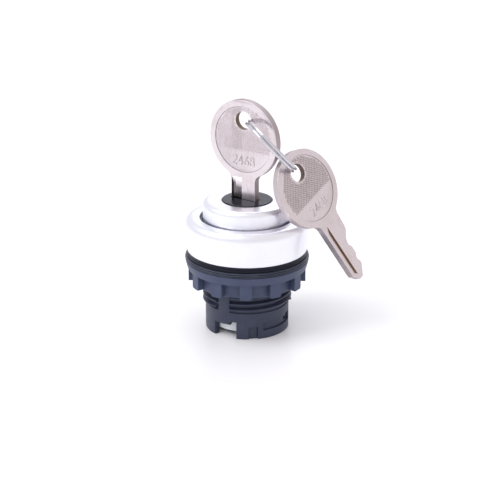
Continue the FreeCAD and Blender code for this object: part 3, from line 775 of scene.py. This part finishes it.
def knurl(bm, facing):
    """Small blunt pyramids on a diagonal lattice, over the bow's floor above the number."""
    floor_y = KEY_THICK / 2 - FACE_DEPTH
    reach = int(BOW_R / KNURL_PITCH) + 2
    shell = bmesh.new()
    corner = KNURL_PITCH * sqrt(2)
    levels = ((corner * KNURL_BASE, floor_y - 0.02), (corner * KNURL_TOP, floor_y + KNURL_HEIGHT))
    for i in range(-reach, reach):
        for j in range(-reach, reach):
            centre = Vector((i + j + 1, i - j)) * (KNURL_PITCH / sqrt(2))
            from_hole = (centre - Vector((0, KEY_HOLE_Z))).length
            past_rim = centre.length > RIM_R - KNURL_MARGIN
            too_low = centre.y < KNURL_CHORD + KNURL_FIRST
            if past_rim or too_low or from_hole < KEY_HOLE_R + KNURL_MARGIN:
                continue
            loft(shell, [[(centre.x + dx * half, facing * y, centre.y + dz * half)
                          for dx, dz in ((1, 0), (0, 1), (-1, 0), (0, -1))] for half, y in levels])
    add(bm, shell)


def stroke_paths():
    """Generic digits 2, 4, 6 and 8 as open strokes in a cell 1 wide and 1.7 tall."""
    two = arc_points(0.42, 160, -30, (0.5, 1.25), 10) + [(0.05, 0.0), (0.95, 0.0)]
    four = [(0.75, 0.0), (0.75, 1.67), (0.02, 0.5), (1.0, 0.5)]
    six = [(0.85, 1.62), (0.45, 1.35)] + arc_points(0.45, 160, 510, (0.5, 0.47), 20)
    eight = arc_points(0.45, 90, 450, (0.5, 0.45), 20) + arc_points(0.37, 270, 630, (0.5, 1.28), 20)
    return [two, four, six, eight]


def number(bm, facing):
    """Raised digits on the plain band under the knurl."""
    curve = bpy.data.curves.new("digits", "CURVE")
    curve.dimensions = "3D"
    curve.bevel_depth = DIGIT_STROKE_R
    curve.bevel_resolution = 3
    curve.use_fill_caps = True
    paths = stroke_paths()
    width = DIGIT_ADVANCE * (len(paths) - 1) + DIGIT_SCALE
    floor_y = KEY_THICK / 2 - FACE_DEPTH
    for index, path in enumerate(paths):
        spline = curve.splines.new("POLY")
        spline.points.add(len(path) - 1)
        for point, (x, z) in zip(spline.points, path):
            across = index * DIGIT_ADVANCE + x * DIGIT_SCALE - width / 2
            point.co = (-facing * across, facing * floor_y, DIGIT_FOOT_Z + z * DIGIT_SCALE, 1)
    take_shape(bm, link("digits", curve))


def mark(mesh, edge_shade, knurl_shade):
    """Masks of painted shade, by place and by how far each face turns from the key's flats; the edge mask
    also roughens the metal.
    """
    side, hollow_shade, deep_shade = (mesh.attributes.new(name, "FLOAT", "FACE") for name in (SIDE, HOLLOW_SHADE, DEEP_SHADE))
    low, high = SIDE_LIMITS
    floor_y = KEY_THICK / 2 - FACE_DEPTH
    for face in mesh.polygons:
        x, y, z = face.center / MM
        radius = hypot(x, z)
        turned = min(max((high - abs(face.normal.y)) / (high - low), 0), 1)
        in_bore = hypot(x, z - KEY_HOLE_Z) < KEY_HOLE_R + 0.05
        on_rim = RIM_R - RIM_EASE < radius < RIM_R + 0.05 and not in_bore
        on_knurl = radius < RIM_R - RIM_EASE and z > KNURL_CHORD and abs(y) > floor_y and not in_bore
        in_front = FRONT_GROOVE[1][0] - 0.02 < x < FRONT_GROOVE[2][0] and FRONT_RUN[0] < z < FRONT_RUN[1]
        in_back = 0 < y < KEY_THICK / 2 - 0.1 and BACK_GROOVE[0][0] < x < BACK_GROOVE[-1][0]
        # painted shade on the edges and walls, by how far they turn from the flats
        side.data[face.index].value = edge_shade * turned
        # painted dark line along the rim's wall
        if on_rim and turned > 0:
            side.data[face.index].value = 1.0
        # painted shade on the knurl's flanks
        if on_knurl:
            side.data[face.index].value = knurl_shade if abs(face.normal.y) < 0.95 else 0.0
        # painted shade in the ring hole
        if in_bore:
            hollow_shade.data[face.index].value = BORE_SHADE
        # painted shade on the narrow groove's wall
        if in_front and turned > 0:
            hollow_shade.data[face.index].value = 1.0
        # painted shade in the wide back channel, darker towards the tip
        if in_back:
            start = CHANNEL_LIP_START if x > BACK_GROOVE[2][0] else CHANNEL_FLOOR_START
            deep = (BACK_RUN[1] - start - z) / CHANNEL_FADE
            deep_shade.data[face.index].value = min(max(deep, CHANNEL_SHADE[0]), CHANNEL_SHADE[1])


def key_mesh(name, step, shades):
    """A whole key in its own frame, with its number and knurl on both faces."""
    bm = blank(step)
    for facing in (-1, 1):
        knurl(bm, facing)
        number(bm, facing)
    mesh = finish_mesh(bm, name, 35.0)
    mark(mesh, *shades)
    return mesh


def axes_matrix(x_axis, y_axis, z_axis, origin):
    """Placement that takes the row axes to these three directions."""
    matrix = Matrix.Identity(4)
    for column, axis in enumerate((x_axis, y_axis, z_axis, origin)):
        for row in range(3):
            matrix[row][column] = axis[row]
    return matrix


INSERTED = (Matrix.Rotation(radians(KEY_AZIMUTH), 4, "Z")
            @ Matrix.Translation((KEY_OFFSET, 0, INSERTED_BOW_Z)))


def spare_matrix():
    normal = SPARE_NORMAL.normalized()
    down = (SPARE_TIP_DIRECTION - normal * SPARE_TIP_DIRECTION.dot(normal)).normalized()
    return axes_matrix(normal.cross(down), -normal, -down, SPARE_CENTRE)


def in_metres(matrix):
    result = matrix.copy()
    result.translation = matrix.translation * MM
    return result


def keys():
    inserted = key_mesh("key_in_lock", STEP_IN_LOCK, LOCK_KEY_SHADES)
    inserted.transform(in_metres(INSERTED))
    install("key_in_lock", inserted, "key", "nickel_silver", ["key_inserted"])
    spare = key_mesh("key_on_ring", STEP, SPARE_KEY_SHADES)
    spare.transform(in_metres(spare_matrix()))
    install("key_on_ring", spare, "spare", "nickel_silver", ["spare_key"])


def ring():
    """Two close turns of wire through both holes, stepping over once, with rounded ends."""
    first = INSERTED @ Vector((0, 0, KEY_HOLE_Z))
    second = spare_matrix() @ Vector((0, 0, KEY_HOLE_Z))
    along = (second - first).normalized()
    depth = (RING_DEPTH - along * RING_DEPTH.dot(along)).normalized()
    rise = sqrt(RING_R ** 2 - ((second - first).length / 2 - RING_INSET) ** 2)
    normal = along.cross(depth)
    centre = (first + second) / 2 - depth * rise + normal * RING_SHIFT
    outward = (first + along * RING_INSET + normal * RING_SHIFT - centre).normalized()
    x_axis = outward * cos(radians(RING_END_ANGLE)) + normal.cross(outward) * sin(radians(RING_END_ANGLE))
    place = axes_matrix(x_axis, normal.cross(x_axis), normal, centre)
    around, steps, end_steps, step_over = 14, 240, 4, radians(35)
    turns = [2 * pi * k / around for k in range(around)]
    loops = []
    for index in range(-end_steps, steps + end_steps + 1):
        inside = min(max(index, 0), steps)
        past = abs(index - inside) / end_steps
        angle = 4 * pi * inside / steps
        shift = min(max((angle - 2 * pi) / step_over, -1.0), 1.0)
        height = RING_PITCH / 2 * sin(shift * pi / 2)
        wire = RING_WIRE_R * sqrt(max(1 - past ** 2, 0.0004))
        angle += (index - inside) / end_steps * RING_WIRE_R / RING_R
        circle = [(RING_R + wire * cos(turn), wire * sin(turn)) for turn in turns]
        loops.append([(radius * cos(angle), radius * sin(angle), height + rise) for radius, rise in circle])
    bm = bmesh.new()
    loft(bm, loops)
    mesh = finish_mesh(bm, "wire_ring", 60.0)
    mesh.transform(in_metres(place))
    install("wire_ring", mesh, "ring", "bright_steel", ["split_ring"])


# ---------------------------------------------------------------- inner pieces

def return_spring(name, node):
    """Coil under a plunger's head."""
    low = Vector([size(node, axis, False) for axis in range(3)])
    high = Vector([size(node, axis) for axis in range(3)])
    middle = (low + high) / 2
    length = high.z - low.z
    coil_r = (high.x - low.x) / 2 - RETURN_WIRE_R
    around, steps = 10, 36 * RETURN_TURNS
    turns = [2 * pi * k / around for k in range(around)]
    circle = [(coil_r + RETURN_WIRE_R * cos(turn), RETURN_WIRE_R * sin(turn)) for turn in turns]
    loops = []
    for index in range(steps + 1):
        angle = 2 * pi * RETURN_TURNS * index / steps
        z = low.z + RETURN_WIRE_R + (length - 2 * RETURN_WIRE_R) * index / steps
        loops.append([(middle.x + radius * cos(angle), middle.y + radius * sin(angle), z + rise)
                      for radius, rise in circle])
    bm = bmesh.new()
    loft(bm, loops)
    piece = install(name, finish_mesh(bm, name, 60.0), "housing", "spring_steel", [node])
    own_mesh(piece)


def finish_inner_nodes():
    """Procedural materials on the CAD's own nodes."""
    slots = {part["node"]: part["material_slot"] for part in frame["record"]["subparts"]}
    for node, piece in frame["nodes"].items():
        piece.data.materials.clear()
        piece.data.materials.append(MATERIALS[slots[node]])


# ---------------------------------------------------------------- stage

# Lights: place and size in metres, power and colour
WINDOW = ((-0.30, -0.10, 0.42), (0.30, 0.30), 1.1, (1.0, 0.99, 0.97))
FILL = ((0.10, 0.35, 0.30), (0.30, 0.20), 0.25, (0.95, 0.97, 1.0))
ROOM_SIDE = (0.75, -0.60, 0.20)         # towards the room's warmer side
ROOM_EDGE = (0.2, 0.9)
ROOM_WHITE = (0.90, 0.90, 0.94)
ROOM_DIM = (0.90, 0.85, 0.845)
FLOOR_HALF = 4.0                        # metres
FLOOR_GAP = 0.00002                     # metres, from the floor to the base's foot
ELEVATION = 20.162
YAW = -0.113
EYE = Vector((0.0, -355.7, 132.45))
LENS = 113.1


def camera():
    data = bpy.data.cameras.new("camera")
    data.lens = LENS
    data.sensor_width = 36.0
    data.clip_start = 0.01
    data.clip_end = 20
    eye = bpy.data.objects.new("camera", data)
    eye.location = EYE * MM
    eye.rotation_euler = (radians(90 - ELEVATION), 0, radians(YAW))
    bpy.context.scene.collection.objects.link(eye)
    bpy.context.scene.camera = eye


def area_light(name, place, extent, power, colour):
    """Rectangular light turned to the origin."""
    data = bpy.data.lights.new(name, "AREA")
    data.shape = "RECTANGLE"
    data.size, data.size_y = extent
    data.energy = power
    data.color = colour
    lamp = bpy.data.objects.new(name, data)
    lamp.location = place
    lamp.rotation_euler = (-Vector(place)).to_track_quat("-Z", "Y").to_euler()
    bpy.context.scene.collection.objects.link(lamp)


def room(tree):
    """White all round, a little warmer and dimmer on one side."""
    background = tree.nodes["Background"]
    where = tree.nodes.new("ShaderNodeTexCoord").outputs["Generated"]
    facing = tree.nodes.new("ShaderNodeVectorMath")
    facing.operation = "DOT_PRODUCT"
    facing.inputs[1].default_value = ROOM_SIDE
    tree.links.new(where, facing.inputs[0])
    side = remap(tree, facing.outputs["Value"], 0.0, 1.0, *ROOM_EDGE)
    tree.links.new(mix(tree, side, ROOM_WHITE, ROOM_DIM), background.inputs["Color"])
    background.inputs["Strength"].default_value = 1.0


def stage():
    bm = bmesh.new()
    corners = rectangle((-FLOOR_HALF, FLOOR_HALF), (-FLOOR_HALF, FLOOR_HALF))
    bm.faces.new([bm.verts.new((x, y, BASE_FOOT * MM - FLOOR_GAP)) for x, y in corners])
    mesh = bpy.data.meshes.new("floor")
    bm.to_mesh(mesh)
    bm.free()
    floor_piece = link("floor", mesh)
    material, tree, surface, where = shader("floor", (0.97, 0.97, 0.985), 0.0, 0.35)
    tree.links.new(remap(tree, noise(tree, where, 40.0), 0.32, 0.40), surface.inputs["Roughness"])
    mesh.materials.append(material)
    world = bpy.data.worlds.new("world")
    bpy.context.scene.world = world
    world.use_nodes = True
    room(world.node_tree)
    area_light("window", *WINDOW)
    area_light("fill", *FILL)
    bpy.context.scene.view_settings.view_transform = "Standard"
    bpy.context.scene.view_settings.look = "None"


finish_inner_nodes()
bezel()
collar()
seal()
lock_face()
gasket()
nut()
base()
keys()
ring()
return_spring("return_spring_1", "plunger_spring_1")
return_spring("return_spring_2", "plunger_spring_2")
camera()
stage()
